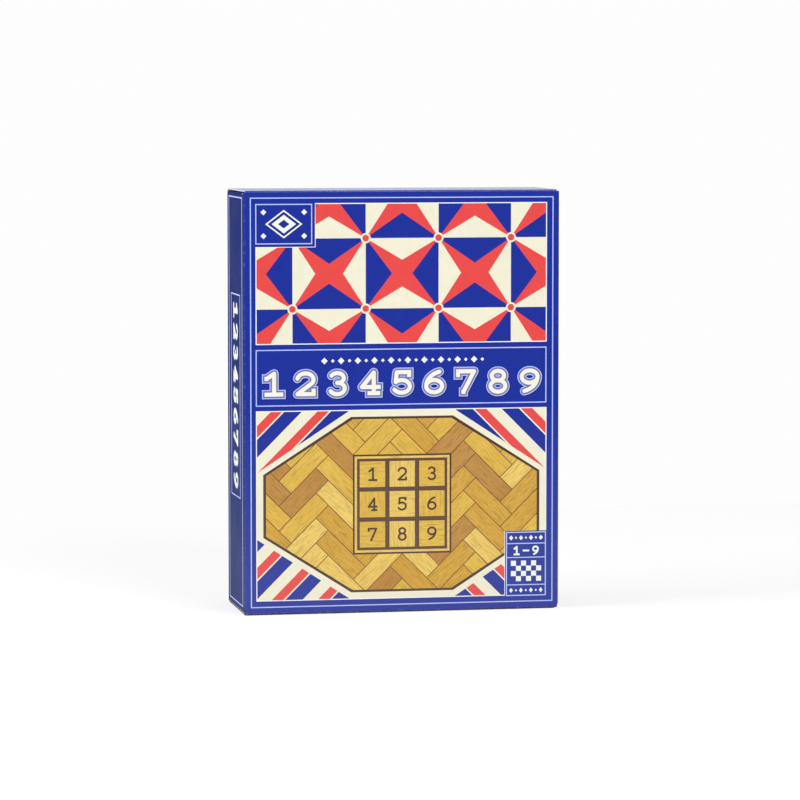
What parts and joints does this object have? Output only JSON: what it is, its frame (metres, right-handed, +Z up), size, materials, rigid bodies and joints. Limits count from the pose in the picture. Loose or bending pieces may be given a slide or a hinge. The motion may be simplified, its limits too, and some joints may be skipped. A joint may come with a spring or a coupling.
{
  "type": "boxed tabletop game",
  "caption": "Printed tuck-end carton standing upright, holding a wooden dice-and-tiles tray game with tip-over numbered tiles on two rods, loose dice and a folded leaflet.",
  "frame": {"origin": "centre of the underside that the carton stands on", "axes": "+X to the right across the front, -Y out of the front panel, +Z up along the carton's height"},
  "size_m": [0.163, 0.057, 0.215],
  "materials": {
    "printed_board": "blue print under a satin varnish on white board",
    "plain_board": "uncoated white board",
    "rail_wood": "clear-varnished pine",
    "floor_plywood": "clear-varnished plywood",
    "tile_wood": "clear-varnished light wood",
    "die_wood": "smooth pale wood",
    "rod_steel": "drawn bright steel",
    "leaflet_paper": "uncoated folded paper"
  },
  "bodies": {
    "carton": {"front_panel": "printed_board", "back_panel": "printed_board", "left_panel": "printed_board", "right_panel": "printed_board", "glue_flap": "plain_board", "tray_floor": "floor_plywood", "tray_rail_left": "rail_wood", "tray_rail_right": "rail_wood", "tray_rail_top": "rail_wood", "tray_rail_bottom": "rail_wood", "centre_rail": "rail_wood", "upper_rest_rail": "rail_wood", "lower_rest_rail": "rail_wood", "upper_rod": "rod_steel", "lower_rod": "rod_steel", "leaflet": "leaflet_paper"},
    "top_closure": {"top_closure": "printed_board"},
    "top_tuck": {"top_tuck": "printed_board"},
    "top_dust_flap_left": {"top_dust_flap_left": "printed_board"},
    "top_dust_flap_right": {"top_dust_flap_right": "printed_board"},
    "bottom_closure": {"bottom_closure": "printed_board"},
    "bottom_tuck": {"bottom_tuck": "printed_board"},
    "bottom_dust_flap_left": {"bottom_dust_flap_left": "printed_board"},
    "bottom_dust_flap_right": {"bottom_dust_flap_right": "printed_board"},
    "upper_tile_1": {"upper_tile_1": "tile_wood"},
    "upper_tile_2": {"upper_tile_2": "tile_wood"},
    "upper_tile_3": {"upper_tile_3": "tile_wood"},
    "upper_tile_4": {"upper_tile_4": "tile_wood"},
    "upper_tile_5": {"upper_tile_5": "tile_wood"},
    "upper_tile_6": {"upper_tile_6": "tile_wood"},
    "upper_tile_7": {"upper_tile_7": "tile_wood"},
    "upper_tile_8": {"upper_tile_8": "tile_wood"},
    "upper_tile_9": {"upper_tile_9": "tile_wood"},
    "lower_tile_1": {"lower_tile_1": "tile_wood"},
    "lower_tile_2": {"lower_tile_2": "tile_wood"},
    "lower_tile_3": {"lower_tile_3": "tile_wood"},
    "lower_tile_4": {"lower_tile_4": "tile_wood"},
    "lower_tile_5": {"lower_tile_5": "tile_wood"},
    "lower_tile_6": {"lower_tile_6": "tile_wood"},
    "lower_tile_7": {"lower_tile_7": "tile_wood"},
    "lower_tile_8": {"lower_tile_8": "tile_wood"},
    "lower_tile_9": {"lower_tile_9": "tile_wood"},
    "die_left": {"die_left": "die_wood"},
    "die_right": {"die_right": "die_wood"}
  },
  "joints": [
    {"name": "top_closure_fold", "type": "hinge", "parent": "carton", "child": "top_closure", "pos_m": [0, 0.0285, 0.2142], "axis": [-1, 0, 0], "range_deg": [0, 150]},
    {"name": "top_tuck_crease", "type": "hinge", "parent": "top_closure", "child": "top_tuck", "pos_m": [0, -0.0264, 0.215], "axis": [-1, 0, 0], "range_deg": [0, 30]},
    {"name": "top_dust_left_fold", "type": "hinge", "parent": "carton", "child": "top_dust_flap_left", "pos_m": [-0.0815, 0, 0.2131], "axis": [0, -1, 0], "range_deg": [0, 90]},
    {"name": "top_dust_right_fold", "type": "hinge", "parent": "carton", "child": "top_dust_flap_right", "pos_m": [0.0815, 0, 0.2131], "axis": [0, 1, 0], "range_deg": [0, 90]},
    {"name": "bottom_closure_fold", "type": "hinge", "parent": "carton", "child": "bottom_closure", "pos_m": [0, 0.0285, 0.0008], "axis": [1, 0, 0], "range_deg": [0, 150]},
    {"name": "bottom_tuck_crease", "type": "hinge", "parent": "bottom_closure", "child": "bottom_tuck", "pos_m": [0, -0.0264, 0], "axis": [1, 0, 0], "range_deg": [0, 30]},
    {"name": "bottom_dust_left_fold", "type": "hinge", "parent": "carton", "child": "bottom_dust_flap_left", "pos_m": [-0.0815, 0, 0.0019], "axis": [0, 1, 0], "range_deg": [0, 90]},
    {"name": "bottom_dust_right_fold", "type": "hinge", "parent": "carton", "child": "bottom_dust_flap_right", "pos_m": [0.0815, 0, 0.0019], "axis": [0, -1, 0], "range_deg": [0, 90]},
    {"name": "upper_tile_1_pivot", "type": "hinge", "parent": "carton", "child": "upper_tile_1", "pos_m": [-0.062, 0.0195, 0.1287], "axis": [-1, 0, 0], "range_deg": [0, 93.4]},
    {"name": "upper_tile_2_pivot", "type": "hinge", "parent": "carton", "child": "upper_tile_2", "pos_m": [-0.0465, 0.0195, 0.1287], "axis": [-1, 0, 0], "range_deg": [0, 93.4]},
    {"name": "upper_tile_3_pivot", "type": "hinge", "parent": "carton", "child": "upper_tile_3", "pos_m": [-0.031, 0.0195, 0.1287], "axis": [-1, 0, 0], "range_deg": [0, 93.4]},
    {"name": "upper_tile_4_pivot", "type": "hinge", "parent": "carton", "child": "upper_tile_4", "pos_m": [-0.0155, 0.0195, 0.1287], "axis": [-1, 0, 0], "range_deg": [0, 93.4]},
    {"name": "upper_tile_5_pivot", "type": "hinge", "parent": "carton", "child": "upper_tile_5", "pos_m": [0, 0.0195, 0.1287], "axis": [-1, 0, 0], "range_deg": [0, 93.4]},
    {"name": "upper_tile_6_pivot", "type": "hinge", "parent": "carton", "child": "upper_tile_6", "pos_m": [0.0155, 0.0195, 0.1287], "axis": [-1, 0, 0], "range_deg": [0, 93.4]},
    {"name": "upper_tile_7_pivot", "type": "hinge", "parent": "carton", "child": "upper_tile_7", "pos_m": [0.031, 0.0195, 0.1287], "axis": [-1, 0, 0], "range_deg": [0, 93.4]},
    {"name": "upper_tile_8_pivot", "type": "hinge", "parent": "carton", "child": "upper_tile_8", "pos_m": [0.0465, 0.0195, 0.1287], "axis": [-1, 0, 0], "range_deg": [0, 93.4]},
    {"name": "upper_tile_9_pivot", "type": "hinge", "parent": "carton", "child": "upper_tile_9", "pos_m": [0.062, 0.0195, 0.1287], "axis": [-1, 0, 0], "range_deg": [0, 93.4]},
    {"name": "lower_tile_1_pivot", "type": "hinge", "parent": "carton", "child": "lower_tile_1", "pos_m": [-0.062, 0.0195, 0.0837], "axis": [-1, 0, 0], "range_deg": [0, 93.4]},
    {"name": "lower_tile_2_pivot", "type": "hinge", "parent": "carton", "child": "lower_tile_2", "pos_m": [-0.0465, 0.0195, 0.0837], "axis": [-1, 0, 0], "range_deg": [0, 93.4]},
    {"name": "lower_tile_3_pivot", "type": "hinge", "parent": "carton", "child": "lower_tile_3", "pos_m": [-0.031, 0.0195, 0.0837], "axis": [-1, 0, 0], "range_deg": [0, 93.4]},
    {"name": "lower_tile_4_pivot", "type": "hinge", "parent": "carton", "child": "lower_tile_4", "pos_m": [-0.0155, 0.0195, 0.0837], "axis": [-1, 0, 0], "range_deg": [0, 93.4]},
    {"name": "lower_tile_5_pivot", "type": "hinge", "parent": "carton", "child": "lower_tile_5", "pos_m": [0, 0.0195, 0.0837], "axis": [-1, 0, 0], "range_deg": [0, 93.4]},
    {"name": "lower_tile_6_pivot", "type": "hinge", "parent": "carton", "child": "lower_tile_6", "pos_m": [0.0155, 0.0195, 0.0837], "axis": [-1, 0, 0], "range_deg": [0, 93.4]},
    {"name": "lower_tile_7_pivot", "type": "hinge", "parent": "carton", "child": "lower_tile_7", "pos_m": [0.031, 0.0195, 0.0837], "axis": [-1, 0, 0], "range_deg": [0, 93.4]},
    {"name": "lower_tile_8_pivot", "type": "hinge", "parent": "carton", "child": "lower_tile_8", "pos_m": [0.0465, 0.0195, 0.0837], "axis": [-1, 0, 0], "range_deg": [0, 93.4]},
    {"name": "lower_tile_9_pivot", "type": "hinge", "parent": "carton", "child": "lower_tile_9", "pos_m": [0.062, 0.0195, 0.0837], "axis": [-1, 0, 0], "range_deg": [0, 93.4]},
    {"name": "die_left_slide", "type": "slide", "parent": "carton", "child": "die_left", "axis": [1, 0, 0], "range_m": [-0.0395, 0.0135]},
    {"name": "die_right_slide", "type": "slide", "parent": "carton", "child": "die_right", "axis": [1, 0, 0], "range_m": [-0.0135, 0.0395]}
  ],
  "couplings": [
    {"joint": "top_tuck_crease", "follows": "top_closure_fold", "ratio": 0.2},
    {"joint": "top_dust_left_fold", "follows": "top_closure_fold", "ratio": 0.6},
    {"joint": "top_dust_right_fold", "follows": "top_closure_fold", "ratio": 0.6},
    {"joint": "bottom_tuck_crease", "follows": "bottom_closure_fold", "ratio": 0.2},
    {"joint": "bottom_dust_left_fold", "follows": "bottom_closure_fold", "ratio": 0.6},
    {"joint": "bottom_dust_right_fold", "follows": "bottom_closure_fold", "ratio": 0.6}
  ]
}
